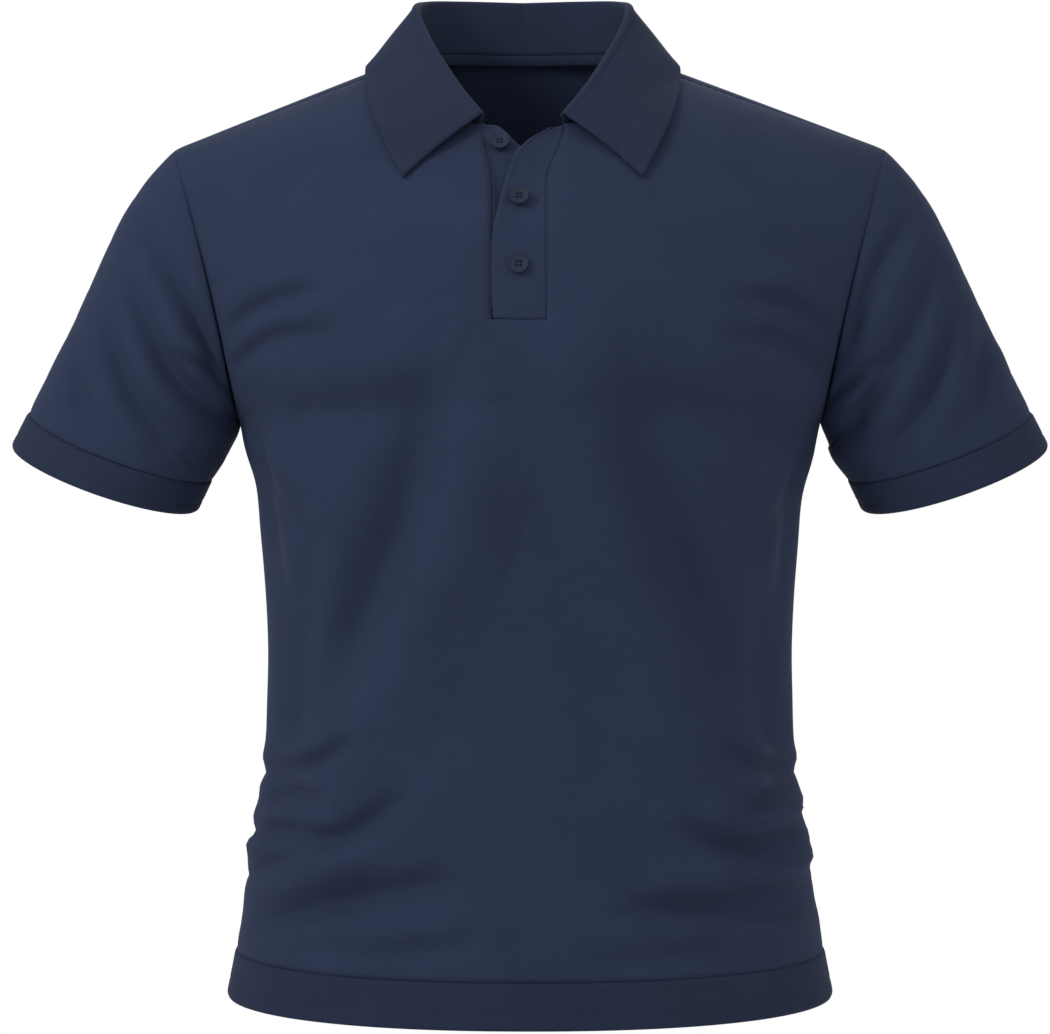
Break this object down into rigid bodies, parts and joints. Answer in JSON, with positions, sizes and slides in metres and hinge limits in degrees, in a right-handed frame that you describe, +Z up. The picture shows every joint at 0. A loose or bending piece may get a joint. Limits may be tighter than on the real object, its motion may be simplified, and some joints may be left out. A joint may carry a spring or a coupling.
{
  "type": "polo shirt",
  "caption": "Hollow worn-form polo shirt with folded collar, buttoned placket, short set-in sleeves, cuff bands and hem band.",
  "frame": {"origin": "centre of the neck base, level with the shoulder points, where the wearer's shoulders hold the shirt", "axes": "+X towards the wearer's left sleeve, -Y out of the front, +Z up"},
  "size_m": [0.7282, 0.2682, 0.7047],
  "materials": {
    "pique": "matt fine pique knit, navy",
    "band": "matt doubled knit band, navy",
    "button": "satin four-hole button, navy"
  },
  "bodies": {
    "root": {"front": "pique", "back": "pique", "sleeve_left": "pique", "sleeve_right": "pique", "cuff_left": "band", "cuff_right": "band", "hem_band_front": "band", "hem_band_back": "band", "collar": "pique", "neck_tape": "band", "placket_over": "pique", "placket_under": "pique", "button_top": "button", "button_middle": "button", "button_bottom": "button"}
  },
  "joints": []
}
